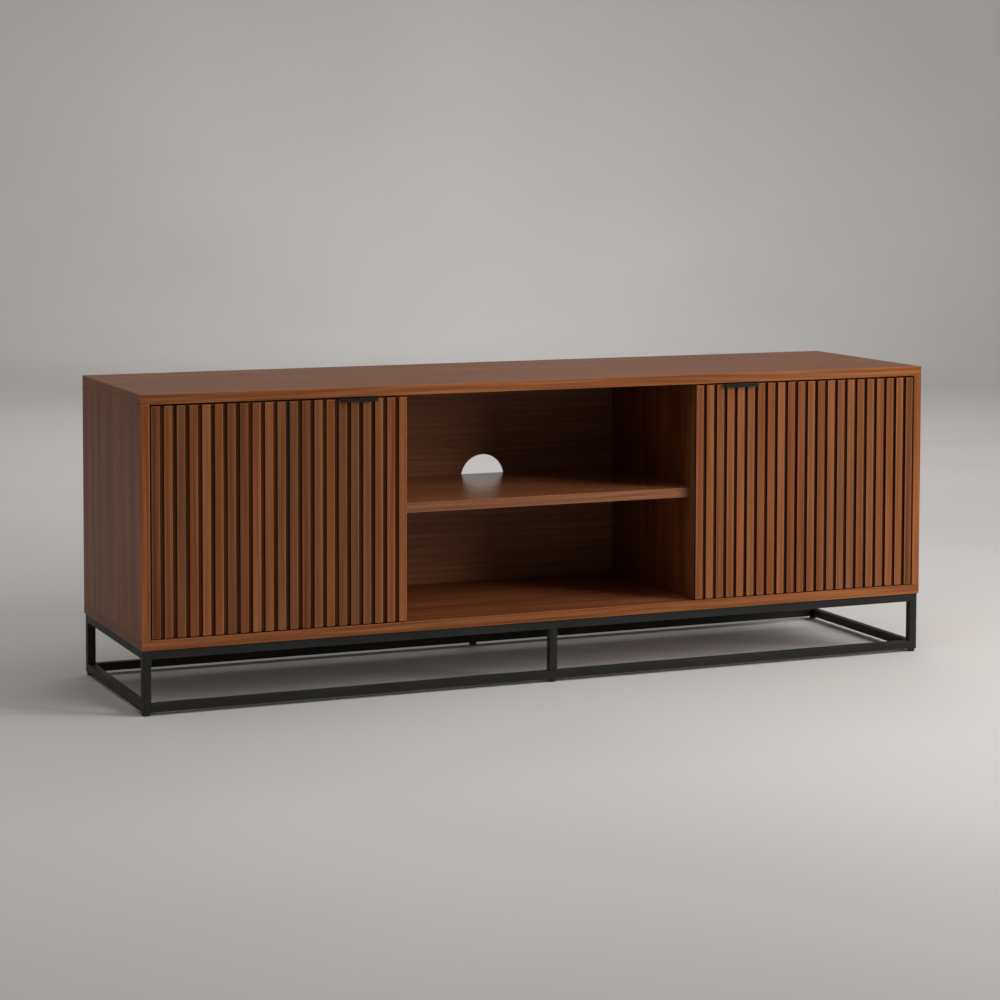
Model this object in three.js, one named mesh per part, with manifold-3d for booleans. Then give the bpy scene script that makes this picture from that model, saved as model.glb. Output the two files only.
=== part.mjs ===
// TV stand with two slatted doors on a square-tube steel base.
// Millimetres, +X to the right along the length, -Y to the front, +Z up.
// The origin is the middle of the bounding box, on the floor.
import * as THREE from "three";
import { mergeVertices } from "three/addons/utils/BufferGeometryUtils.js";
import Module from "manifold-3d";

const wasm = await Module();
wasm.setup();

// ---------------------------------------------------------------- driving dimensions
const LENGTH = 1600;
const DEPTH = 415;
const CARCASS_HEIGHT = 456;
const BASE_HEIGHT = 112;
const FOOT_HEIGHT = 6;

const TUBE = 16;
const TUBE_WALL = 1.5;
const BASE_INSET_X = 2;
const BASE_INSET_Y = 3;

const PANEL = 18;
const SIDE = 16;
const BACK_BOARD = 5;
const BACK_RECESS = 32;
const SHELF = 18;
const SEAM = 0.25;

const CENTRE_BAY = 596;
const UPPER_BAY_HEIGHT = 203;
const CENTRE_SHELF_SETBACK = 22;
const SIDE_SHELF_SETBACK = 60;
const CABLE_HOLE = { radius: 47, x: 10 };

const DOOR_RECESS = 1;
const DOOR_SIDE_GAP = 3;
const DOOR_TOP_GAP = 3.5;
const DOOR_BOTTOM_GAP = 2;
const DOOR_BOARD = 11.75;
const DOOR_TO_PARTITION = 1;
const SLAT_WIDTH = 15;
const SLAT_PROUD = 6;
const SLAT_BACKING = 1;
const SLAT_BEVEL = 1;
const SLATS_LEFT = 21;
const SLATS_RIGHT = 22;

const HANDLE_LENGTH = 72;
const HANDLE_FROM_EDGE = 59;
const HANDLE_REACH = 8;
const HANDLE_SHEET = 1.5;
const HANDLE_LIP = 6.75;
const HANDLE_FLANGE = 18;

const PIVOT_FROM_EDGE = 34;
const PIVOT_BEHIND_FACE = 12;
const PIVOT_PIN_R = 2.5;
const PIVOT_PIN_REACH = 7;
const PIVOT_PLATE = { length: 46, width: 9, thick: 2 };
const PIVOT_PLATE_Y = 3.5;
const POCKET_GAP = 0.3;
const BUSH_BODY_R = 5;
const BUSH_FLANGE_R = 7.5;
const BUSH_FLANGE = 1;
const BUSH_BORE_R = 2.8;
const BUSH_DEPTH = 9;

const PIN_R = 2.5;
const PIN_LENGTH = 16;
const PIN_COLLAR_R = 4;
const PIN_COLLAR = 1;
const PIN_HOLE_R = 2.8;
const PIN_HOLE_DEPTH = 9;
const PIN_FROM_SHELF_END = 45;
const PIN_STEP = 32;

const CATCH = { length: 28, depth: 14, height: 12 };
const CATCH_FROM_PARTITION = 10;
const STRIKE = { length: 22, height: 10, thick: 1 };

const ROUND = 20;

// ---------------------------------------------------------------- levels and planes
const FRONT = HANDLE_REACH - (DEPTH + HANDLE_REACH) / 2;
const BACK = FRONT + DEPTH;
const HALF = LENGTH / 2;
const BASE_TOP = FOOT_HEIGHT + BASE_HEIGHT;
const TOP = BASE_TOP + CARCASS_HEIGHT;
const FLOOR_OF_BAYS = BASE_TOP + PANEL;
const ROOF_OF_BAYS = TOP - PANEL;
const SHELF_TOP = ROOF_OF_BAYS - UPPER_BAY_HEIGHT;
const SHELF_BOTTOM = SHELF_TOP - SHELF;

const SIDE_INNER = HALF - SIDE;
const PARTITION_INNER = CENTRE_BAY / 2;
const PARTITION_OUTER = PARTITION_INNER + SIDE;
const BACK_BOARD_REAR = BACK - BACK_RECESS;
const BACK_BOARD_FACE = BACK_BOARD_REAR - BACK_BOARD;

const DOOR_OUTER = SIDE_INNER - DOOR_SIDE_GAP;
const DOOR_WIDTH = DOOR_OUTER - PARTITION_INNER;
const DOOR_BOTTOM = FLOOR_OF_BAYS + DOOR_BOTTOM_GAP;
const DOOR_TOP = ROOF_OF_BAYS - DOOR_TOP_GAP;
const DOOR_FACE = FRONT + DOOR_RECESS;
const BOARD_FACE = DOOR_FACE + SLAT_PROUD + SLAT_BACKING + SEAM;
const DOOR_REAR = BOARD_FACE + DOOR_BOARD;
const PARTITION_FRONT = DOOR_REAR + DOOR_TO_PARTITION;
const PIVOT_X = DOOR_OUTER - PIVOT_FROM_EDGE;
const PIVOT_Y = DOOR_FACE + PIVOT_BEHIND_FACE;

// ---------------------------------------------------------------- finishes
const finish = (color, roughness, metalness = 0) =>
  new THREE.MeshStandardMaterial({ color, roughness, metalness });
const WALNUT = finish(0x7a4a2e, 0.45);
const WALNUT_SLAT = finish(0x84502f, 0.5);
const WALNUT_DARK = finish(0x4a2f20, 0.6);
const BLACK_STEEL = finish(0x242422, 0.45, 0.6);
const BLACK_HANDLE = finish(0x171716, 0.4, 0.7);
const PLAIN_STEEL = finish(0xa8a9aa, 0.35, 1);
const BLACK_PLASTIC = finish(0x151515, 0.6);
const DARK_STEEL = finish(0x2c2c2d, 0.45, 1);
const BLACK_NYLON = finish(0x1c1c1c, 0.5);

// ---------------------------------------------------------------- small builders
const stand = new THREE.Group();

function place(name, geometry, material, x = 0, y = 0, z = 0) {
  const mesh = new THREE.Mesh(geometry, material);
  mesh.name = name;
  mesh.position.set(x, y, z);
  stand.add(mesh);
  return mesh;
}

/** A box between two corners, in the stand's own coordinates. */
function block([x0, y0, z0], [x1, y1, z1]) {
  const geometry = new THREE.BoxGeometry(Math.abs(x1 - x0), y1 - y0, z1 - z0);
  return geometry.translate((x0 + x1) / 2, (y0 + y1) / 2, (z0 + z1) / 2);
}

/** A solid of revolution about the vertical through (x, y), from [radius, z] pairs. */
function turned(profile, x, y, sides = ROUND) {
  const points = profile.map(([r, z]) => new THREE.Vector2(r, z));
  return new THREE.LatheGeometry(points, sides).rotateX(Math.PI / 2).translate(x, y, 0);
}

/** A cylinder from a start point, along +X, +Y or +Z (axis 0, 1 or 2). */
function rod(radius, length, axis, start, sides = ROUND) {
  const geometry = new THREE.CylinderGeometry(radius, radius, length, sides);
  if (axis === 0) geometry.rotateZ(Math.PI / 2);
  if (axis === 2) geometry.rotateX(Math.PI / 2);
  const middle = start.slice();
  middle[axis] += length / 2;
  return geometry.translate(...middle);
}

function solid(geometry) {
  const bare = geometry.clone();
  bare.deleteAttribute("normal");
  bare.deleteAttribute("uv");
  const merged = mergeVertices(bare, 1e-4);
  const vertProperties = Float32Array.from(merged.attributes.position.array);
  const triVerts = Uint32Array.from(merged.index.array);
  return new wasm.Manifold(new wasm.Mesh({ numProp: 3, vertProperties, triVerts }));
}

function meshOf(manifold) {
  const mesh = manifold.getMesh();
  const geometry = new THREE.BufferGeometry();
  geometry.setAttribute("position", new THREE.BufferAttribute(mesh.vertProperties, 3));
  geometry.setIndex(new THREE.BufferAttribute(mesh.triVerts, 1));
  return geometry;
}

const cut = (body, tools) =>
  meshOf(tools.reduce((left, tool) => left.subtract(solid(tool)), solid(body)));
const join = (bodies) =>
  meshOf(bodies.slice(1).reduce((sum, body) => sum.add(solid(body)), solid(bodies[0])));

// ---------------------------------------------------------------- base frame
const FRAME_X = HALF - BASE_INSET_X;
const FRAME_FRONT = FRONT + BASE_INSET_Y;
const FRAME_BACK = BACK - BASE_INSET_Y;
const FRAME_TOP = BASE_TOP - SEAM;
const RAIL_LEVELS = [
  ["upper", FRAME_TOP - TUBE, FRAME_TOP],
  ["lower", FOOT_HEIGHT, FOOT_HEIGHT + TUBE],
];
const ROWS = [
  ["front", FRAME_FRONT, FRAME_FRONT + TUBE],
  ["back", FRAME_BACK - TUBE, FRAME_BACK],
];

/** A length of square tube filling the box between two corners, open at both ends of one axis. */
function tube(low, high, axis) {
  const square = (half, path) =>
    path.moveTo(-half, -half).lineTo(half, -half).lineTo(half, half).lineTo(-half, half).closePath();
  const section = square(TUBE / 2, new THREE.Shape());
  section.holes.push(square(TUBE / 2 - TUBE_WALL, new THREE.Path()));
  const options = { depth: high[axis] - low[axis], bevelEnabled: false };
  const geometry = new THREE.ExtrudeGeometry(section, options);
  if (axis === 0) geometry.rotateY(Math.PI / 2);
  if (axis === 1) geometry.rotateX(-Math.PI / 2);
  const start = low.map((value, i) => (i === axis ? value : (value + high[i]) / 2));
  return geometry.translate(...start);
}

/** Corner legs run the whole height; middle legs stop under the upper rail. */
function addLegs() {
  for (const [row, y0, y1] of ROWS) {
    for (const [side, x0] of [["left", -FRAME_X], ["right", FRAME_X - TUBE]]) {
      const leg = tube([x0, y0, FOOT_HEIGHT], [x0 + TUBE, y1, FRAME_TOP], 2);
      place(`leg_${row}_${side}`, leg, BLACK_STEEL);
    }
    const middle = tube([-TUBE / 2, y0, FOOT_HEIGHT], [TUBE / 2, y1, FRAME_TOP - TUBE], 2);
    place(`leg_${row}_middle`, middle, BLACK_STEEL);
  }
}

/** Side rails and the cross rail run front to back between the rows of legs. */
function addShortRails() {
  const front = FRAME_FRONT + TUBE;
  const back = FRAME_BACK - TUBE;
  for (const [level, z0, z1] of RAIL_LEVELS) {
    for (const [side, x0] of [["left", -FRAME_X], ["right", FRAME_X - TUBE]]) {
      place(`${level}_rail_${side}`, tube([x0, front, z0], [x0 + TUBE, back, z1], 1), BLACK_STEEL);
    }
  }
  const [, z0, z1] = RAIL_LEVELS[0];
  const cross = tube([-TUBE / 2, front, z0], [TUBE / 2, back, z1], 1);
  place("cross_rail_middle", cross, BLACK_STEEL);
}

/** Upper rails run from corner leg to corner leg; lower rails stop at the middle leg. */
function addLongRails() {
  const [[, upper0, upper1], [, lower0, lower1]] = RAIL_LEVELS;
  const reach = FRAME_X - TUBE;
  for (const [row, y0, y1] of ROWS) {
    const upper = tube([-reach, y0, upper0], [reach, y1, upper1], 0);
    place(`upper_rail_${row}`, upper, BLACK_STEEL);
    for (const [side, x0, x1] of [["left", -reach, -TUBE / 2], ["right", TUBE / 2, reach]]) {
      const lower = tube([x0, y0, lower0], [x1, y1, lower1], 0);
      place(`lower_rail_${row}_${side}`, lower, BLACK_STEEL);
    }
  }
}

/** Round glides centred under the legs, slightly narrower than the tube. */
function addFeet() {
  const rim = TUBE / 2 - 0.5;
  const chamfer = 1;
  const profile = [
    [0, 0], [rim - chamfer, 0], [rim, chamfer], [rim, FOOT_HEIGHT], [0, FOOT_HEIGHT],
  ];
  for (const [row, y0] of ROWS) {
    for (const [spot, x] of [["left", -1], ["middle", 0], ["right", 1]]) {
      const at = [x * (FRAME_X - TUBE / 2), y0 + TUBE / 2];
      place(`foot_${row}_${spot}`, turned(profile, ...at), BLACK_PLASTIC);
    }
  }
}

// ---------------------------------------------------------------- carcass
const HANDS = [["left", -1], ["right", 1]];

/** A top or bottom board with a blind seat for each door's pivot bush. */
function bushSeats(z) {
  const seatRadius = BUSH_BODY_R + POCKET_GAP;
  return HANDS.map(([, hand]) => rod(seatRadius, BUSH_DEPTH + 1, 2, [hand * PIVOT_X, PIVOT_Y, z]));
}

function addTopAndBottom() {
  const low = block([-HALF, FRONT, BASE_TOP], [HALF, BACK, FLOOR_OF_BAYS]);
  place("bottom_panel", cut(low, bushSeats(FLOOR_OF_BAYS - BUSH_DEPTH)), WALNUT);
  const high = block([-HALF, FRONT, ROOF_OF_BAYS], [HALF, BACK, TOP]);
  place("top_panel", cut(high, bushSeats(ROOF_OF_BAYS - 1)), WALNUT);
}

const PIN_Z = SHELF_BOTTOM - SEAM - PIN_R;
const PIN_YS = [
  FRONT + SIDE_SHELF_SETBACK + PIN_FROM_SHELF_END,
  BACK_BOARD_FACE - PIN_FROM_SHELF_END,
];

/** Three rows of shelf-pin holes, bored along X from the face at x, into the panel. */
function pinHoles(x, into) {
  const start = into > 0 ? x - 1 : x - PIN_HOLE_DEPTH;
  const holes = [];
  for (const y of PIN_YS) {
    for (const step of [-1, 0, 1]) {
      holes.push(rod(PIN_HOLE_R, PIN_HOLE_DEPTH + 1, 0, [start, y, PIN_Z + step * PIN_STEP], 10));
    }
  }
  return holes;
}

function addUprights() {
  const z0 = FLOOR_OF_BAYS + SEAM;
  const z1 = ROOF_OF_BAYS - SEAM;
  for (const [side, hand] of HANDS) {
    const outer = hand > 0 ? [SIDE_INNER, HALF] : [-HALF, -SIDE_INNER];
    const wall = block([outer[0], FRONT, z0], [outer[1], BACK, z1]);
    place(`side_panel_${side}`, cut(wall, pinHoles(hand * SIDE_INNER, hand)), WALNUT);
    const xs = [hand * PARTITION_INNER, hand * PARTITION_OUTER].sort((a, b) => a - b);
    const rear = BACK_BOARD_FACE - SEAM;
    const divider = block([xs[0], PARTITION_FRONT, z0], [xs[1], rear, z1]);
    place(`partition_${side}`, cut(divider, pinHoles(hand * PARTITION_OUTER, -hand)), WALNUT);
  }
}

/** The back board, with a round cable hole that the centre shelf crosses at mid-height. */
function addBackPanel() {
  const x = SIDE_INNER - SEAM;
  const [z0, z1] = [FLOOR_OF_BAYS + SEAM, ROOF_OF_BAYS - SEAM];
  const outline = new THREE.Shape();
  outline.moveTo(-x, z0).lineTo(x, z0).lineTo(x, z1).lineTo(-x, z1).closePath();
  const hole = new THREE.Path();
  const level = (SHELF_TOP + SHELF_BOTTOM) / 2;
  hole.absarc(CABLE_HOLE.x, level, CABLE_HOLE.radius, 0, 2 * Math.PI, true);
  outline.holes.push(hole);
  const options = { depth: BACK_BOARD, bevelEnabled: false, curveSegments: 24 };
  const board = new THREE.ExtrudeGeometry(outline, options).rotateX(Math.PI / 2);
  place("back_panel", board, WALNUT_DARK, 0, BACK_BOARD_REAR, 0);
}

function addShelves() {
  const rear = BACK_BOARD_FACE - SEAM;
  const half = PARTITION_INNER - SEAM;
  const front = FRONT + CENTRE_SHELF_SETBACK;
  place("shelf_center", block([-half, front, SHELF_BOTTOM], [half, rear, SHELF_TOP]), WALNUT);
  const play = PIN_COLLAR + 2 * SEAM;
  const xs = [PARTITION_OUTER + play, SIDE_INNER - play];
  const y0 = FRONT + SIDE_SHELF_SETBACK;
  for (const [side, hand] of HANDS) {
    const board = block([hand * xs[0], y0, SHELF_BOTTOM], [hand * xs[1], rear - play, SHELF_TOP]);
    place(`shelf_${side}`, board, WALNUT);
  }
}

/** A collared pin whose collar rests on the panel's face; `inward` points out of the panel. */
function shelfPin(face, inward, y) {
  const collar = PIN_COLLAR + SEAM;
  const half = PIN_LENGTH / 2;
  const profile = [
    [0, -half], [PIN_R, -half], [PIN_R, SEAM], [PIN_COLLAR_R, SEAM],
    [PIN_COLLAR_R, collar], [PIN_R, collar], [PIN_R, half], [0, half],
  ];
  const points = profile.map(([r, h]) => new THREE.Vector2(r, h));
  const pin = new THREE.LatheGeometry(points, 12).rotateZ((-inward * Math.PI) / 2);
  return pin.translate(face, y, PIN_Z);
}

/** Each collar sits in the play between the shelf's end and the panel. */
function addShelfPins() {
  for (const [side, hand] of HANDS) {
    for (const [spot, face, inward] of [["outer", SIDE_INNER, -hand], ["inner", PARTITION_OUTER, hand]]) {
      PIN_YS.forEach((y, row) => {
        const name = `shelf_pin_${side}_${spot}_${row ? "back" : "front"}`;
        place(name, shelfPin(hand * face, inward, y), PLAIN_STEEL);
      });
    }
  }
}

// ---------------------------------------------------------------- doors
/** Slats with bevelled front edges on a thin backing, as one extruded outline. */
function slatFacing(hand, count) {
  const pitch = (DOOR_WIDTH - SLAT_WIDTH) / (count - 1);
  const rear = SLAT_PROUD + SLAT_BACKING;
  const outline = new THREE.Shape();
  outline.moveTo(0, rear);
  for (let slat = 0; slat < count; slat += 1) {
    const x0 = slat * pitch;
    const x1 = slat === count - 1 ? DOOR_WIDTH : x0 + SLAT_WIDTH;
    if (slat > 0) outline.lineTo(x0, SLAT_PROUD);
    outline.lineTo(x0, SLAT_BEVEL).lineTo(x0 + SLAT_BEVEL, 0);
    outline.lineTo(x1 - SLAT_BEVEL, 0).lineTo(x1, SLAT_BEVEL);
    if (slat < count - 1) outline.lineTo(x1, SLAT_PROUD);
  }
  outline.lineTo(DOOR_WIDTH, rear).closePath();
  const options = { depth: DOOR_TOP - DOOR_BOTTOM, bevelEnabled: false };
  const facing = new THREE.ExtrudeGeometry(outline, options);
  const left = hand > 0 ? PARTITION_INNER : -DOOR_OUTER;
  return facing.translate(left, DOOR_FACE, DOOR_BOTTOM);
}

const plateSpan = (hand, grow = 0) => {
  const half = PIVOT_PLATE.length / 2 + grow;
  const y0 = PIVOT_Y - PIVOT_PLATE_Y - grow;
  return [hand * PIVOT_X - half, hand * PIVOT_X + half, y0, y0 + PIVOT_PLATE.width + 2 * grow];
};

/** The door board, with a pocket for the pivot plate in its top and bottom edges. */
function doorBoard(hand) {
  const xs = [hand * PARTITION_INNER, hand * DOOR_OUTER].sort((a, b) => a - b);
  const board = block([xs[0], BOARD_FACE, DOOR_BOTTOM], [xs[1], DOOR_REAR, DOOR_TOP]);
  const [x0, x1, y0, y1] = plateSpan(hand, POCKET_GAP);
  const deep = PIVOT_PLATE.thick + POCKET_GAP;
  return cut(board, [
    block([x0, y0, DOOR_TOP - deep], [x1, y1, DOOR_TOP + 1]),
    block([x0, y0, DOOR_BOTTOM - 1], [x1, y1, DOOR_BOTTOM + deep]),
  ]);
}

/** A sheet folded over the door's top edge: lip in front, flange behind. */
function edgePull() {
  const sheet = HANDLE_SHEET;
  const seat = SEAM;
  const reach = HANDLE_REACH + DOOR_RECESS;
  const rear = DOOR_REAR - DOOR_FACE + seat;
  const outline = new THREE.Shape();
  outline.moveTo(-reach, sheet + seat - HANDLE_LIP).lineTo(sheet - reach, sheet + seat - HANDLE_LIP);
  outline.lineTo(sheet - reach, seat).lineTo(rear, seat).lineTo(rear, -HANDLE_FLANGE);
  outline.lineTo(rear + sheet, -HANDLE_FLANGE).lineTo(rear + sheet, sheet + seat);
  outline.lineTo(-reach, sheet + seat).closePath();
  const pull = new THREE.ExtrudeGeometry(outline, { depth: HANDLE_LENGTH, bevelEnabled: false });
  return pull.applyMatrix4(new THREE.Matrix4().set(0, 0, 1, 0, 1, 0, 0, 0, 0, 1, 0, 0, 0, 0, 0, 1));
}

/** A plate let into the door's edge, with a pin that turns in the bush beyond it. */
function pivotPlate(hand, up) {
  const [x0, x1, y0, y1] = plateSpan(hand);
  const edge = up > 0 ? DOOR_TOP : DOOR_BOTTOM;
  const inner = edge - up * PIVOT_PLATE.thick;
  const plate = block([x0, y0, Math.min(edge, inner)], [x1, y1, Math.max(edge, inner)]);
  const gap = up > 0 ? DOOR_TOP_GAP : DOOR_BOTTOM_GAP;
  const length = gap + PIVOT_PIN_REACH + 1;
  const start = up > 0 ? edge - 1 : edge + 1 - length;
  return join([plate, rod(PIVOT_PIN_R, length, 2, [hand * PIVOT_X, PIVOT_Y, start])]);
}

/** A flanged bush in the board above or below the door. */
function pivotBush(hand, up) {
  const face = up > 0 ? ROOF_OF_BAYS : FLOOR_OF_BAYS;
  const flange = face - up * (SEAM + BUSH_FLANGE);
  const underside = face - up * SEAM;
  const end = face + up * (BUSH_DEPTH - POCKET_GAP);
  const profile = [
    [BUSH_BORE_R, flange], [BUSH_FLANGE_R, flange], [BUSH_FLANGE_R, underside],
    [BUSH_BODY_R, underside], [BUSH_BODY_R, end], [BUSH_BORE_R, end], [BUSH_BORE_R, flange],
  ];
  if (up < 0) profile.reverse();
  return turned(profile, hand * PIVOT_X, PIVOT_Y);
}

function addCatch(side, hand) {
  const inner = PARTITION_OUTER + CATCH_FROM_PARTITION;
  const xs = [hand * inner, hand * (inner + CATCH.length)].sort((a, b) => a - b);
  const z1 = ROOF_OF_BAYS - SEAM;
  const strikeRear = DOOR_REAR + SEAM + STRIKE.thick;
  const y0 = strikeRear + SEAM;
  const housing = block([xs[0], y0, z1 - CATCH.height], [xs[1], y0 + CATCH.depth, z1]);
  place(`magnet_catch_${side}`, housing, BLACK_PLASTIC);
  const middle = (xs[0] + xs[1]) / 2;
  const half = STRIKE.length / 2;
  const zTop = DOOR_TOP - 1;
  const low = [middle - half, DOOR_REAR + SEAM, zTop - STRIKE.height];
  place(`strike_plate_${side}`, block(low, [middle + half, strikeRear, zTop]), PLAIN_STEEL);
}

function addDoors() {
  for (const [side, hand] of HANDS) {
    const count = hand > 0 ? SLATS_RIGHT : SLATS_LEFT;
    place(`door_slats_${side}`, slatFacing(hand, count), WALNUT_SLAT);
    place(`door_board_${side}`, doorBoard(hand), WALNUT_DARK);
    const near = PARTITION_INNER + HANDLE_FROM_EDGE;
    const pullX = hand > 0 ? near : -near - HANDLE_LENGTH;
    place(`handle_${side}`, edgePull(), BLACK_HANDLE, pullX, DOOR_FACE, DOOR_TOP);
    for (const [level, up] of [["top", 1], ["bottom", -1]]) {
      place(`pivot_plate_${side}_${level}`, pivotPlate(hand, up), DARK_STEEL);
      place(`pivot_bush_${side}_${level}`, pivotBush(hand, up), BLACK_NYLON);
    }
    addCatch(side, hand);
  }
}

addLegs();
addShortRails();
addLongRails();
addFeet();
addTopAndBottom();
addUprights();
addBackPanel();
addShelves();
addShelfPins();
addDoors();

export default stand;
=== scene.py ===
"""Looks for a TV stand with two slatted doors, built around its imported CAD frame.

Metres, +X to the right along the length, -Y to the front, +Z up, as in the frame.
Places come from the frame's boxes; the named sizes below are the rest.
"""
import math
import random

import bmesh
import bpy
from mathutils import Matrix, Vector


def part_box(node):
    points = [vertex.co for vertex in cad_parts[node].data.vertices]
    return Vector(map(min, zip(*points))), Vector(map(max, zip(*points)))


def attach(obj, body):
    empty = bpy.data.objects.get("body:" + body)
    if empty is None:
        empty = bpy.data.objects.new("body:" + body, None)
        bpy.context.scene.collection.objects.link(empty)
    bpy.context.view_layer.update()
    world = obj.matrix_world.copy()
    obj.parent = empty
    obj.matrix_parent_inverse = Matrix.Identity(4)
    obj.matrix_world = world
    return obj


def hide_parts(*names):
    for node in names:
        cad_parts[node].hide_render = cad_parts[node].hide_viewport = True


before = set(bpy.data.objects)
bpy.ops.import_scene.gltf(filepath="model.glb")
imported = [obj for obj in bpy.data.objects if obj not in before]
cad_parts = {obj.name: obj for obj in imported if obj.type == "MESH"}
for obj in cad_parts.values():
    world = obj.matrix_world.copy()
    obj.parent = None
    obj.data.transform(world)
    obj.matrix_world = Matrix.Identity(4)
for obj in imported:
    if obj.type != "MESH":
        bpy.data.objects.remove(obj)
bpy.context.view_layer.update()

MM = 0.001
X, Y, Z = range(3)
HANDS = (("left", -1), ("right", 1))
ROWS = ("front", "back")
random.seed(7)

# ---------------------------------------------------------------- sizes
BOARD_ROUND = 0.7 * MM
BACK_ROUND = 0.4 * MM
BAND = 1.0 * MM
PALE_BAND = 0.25
SHARP_ABOVE = math.radians(46)
FACES_SIDEWAYS = 0.9
FACES_SQUARE = 0.985

SLATS = {"left": 21, "right": 22}
SLAT_WIDTH = 15.5 * MM
SLAT_PROUD = 6 * MM
SLAT_ROUND = 1.1 * MM
SLAT_SUNK = 0.3 * MM
# painted shade: the slats' sideways faces get this tone, which the walnut shader turns almost black, as
# shade in the gaps between slats
GROOVE_SHADE_TONE = -4.0
BACKING_ROUND = 0.2 * MM
# painted shade: the backing sheet between the slats is darkened, as shade in the gaps
BACKING_SHADE_TONE = -1.1
SLAT_TONE_SPREAD = 0.7
# painted shade: the slat next to the side board is darkened, as shade beside the side board
OUTERMOST_SHADE_TONE = -1.5

TUBE_WALL = 1.5 * MM
TUBE_ROUND = 1.8 * MM
TUBE_INNER_ROUND = 0.6 * MM

SHEET = 1.5 * MM
SHEET_ROUND = 0.45 * MM
SHEET_END = 0.4 * MM
SHEET_END_SHARE = 0.55
LIP_BELOW_DOOR_TOP = 5 * MM
BEND = 1.6 * MM

PLATE_THICK = 2 * MM
PLATE_ROUND = 0.5 * MM
PIVOT_R = 2.5 * MM
PIVOT_NOSE = 0.6 * MM
PIVOT_SUNK = 0.5 * MM
BUSH_BORE_R = 2.8 * MM
BUSH_BODY_R = 5 * MM
BUSH_FLANGE = 1 * MM
BUSH_LIP = 0.3 * MM
CATCH_ROUND = 1.2 * MM
STRIKE_ROUND = 0.4 * MM

SHELF_PIN_R = 2.5 * MM
SHELF_PIN_LIP = 0.5 * MM
COLLAR_SPAN = (0.25 * MM, 1.25 * MM)
COLLAR_LIP = 0.2 * MM

BACK_SCREW_ROWS = 4
SHELF_SCREWS = (0.12, 0.34, 0.70, 0.88)
BACK_SCREW_HEAD = (3.2 * MM, 1.5 * MM)
PULL_SCREW_UP = 7 * MM
PULL_SCREW_APART = 44 * MM
PULL_SCREW_HEAD = (2.4 * MM, 1.1 * MM)

CABLE_HOLE_R = 47 * MM
CABLE_HOLE_X = 10 * MM
PIN_HOLE_R = 2.8 * MM
PIN_HOLE_DEPTH = 9 * MM
PIN_STEP = 32 * MM
SEAT_R = 5.3 * MM
SEAT_DEPTH = 9 * MM
POCKET_GAP = 0.3 * MM

POWDER_SHEEN = 0.28
LOG_REACH = (3.0, 0.12, 0.03)
TONE_STEP = 0.16
RING_SPACING = 10.5 * MM
PITH_DEPTH = 60 * MM

CAMERA_AT = Vector((-2.0346, -4.7206, 1.0287))
CAMERA_YAW = 0.4021
CAMERA_PITCH = 0.0615
CAMERA_ROLL = 0.0026
CAMERA_LENS = 95.40
CAMERA_SHIFT = -0.20


# ---------------------------------------------------------------- mesh helpers
def middle_and_size(low, high):
    """The middle and the size of a box between two corners."""
    return (Vector(low) + Vector(high)) / 2, Vector(high) - Vector(low)


def on_two_faces(point, low, high):
    """True if the point lies on two or more of the planes that bound a box."""
    hits = sum(min(abs(point[i] - low[i]), abs(point[i] - high[i])) < 1e-6 for i in range(3))
    return hits >= 2


def plain_box(mesh, low, high):
    """Adds a box between two corners and returns its vertices."""
    middle, size = middle_and_size(low, high)
    verts = bmesh.ops.create_cube(mesh, size=1.0)["verts"]
    bmesh.ops.scale(mesh, vec=size, verts=verts)
    bmesh.ops.translate(mesh, vec=middle, verts=verts)
    return verts


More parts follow.
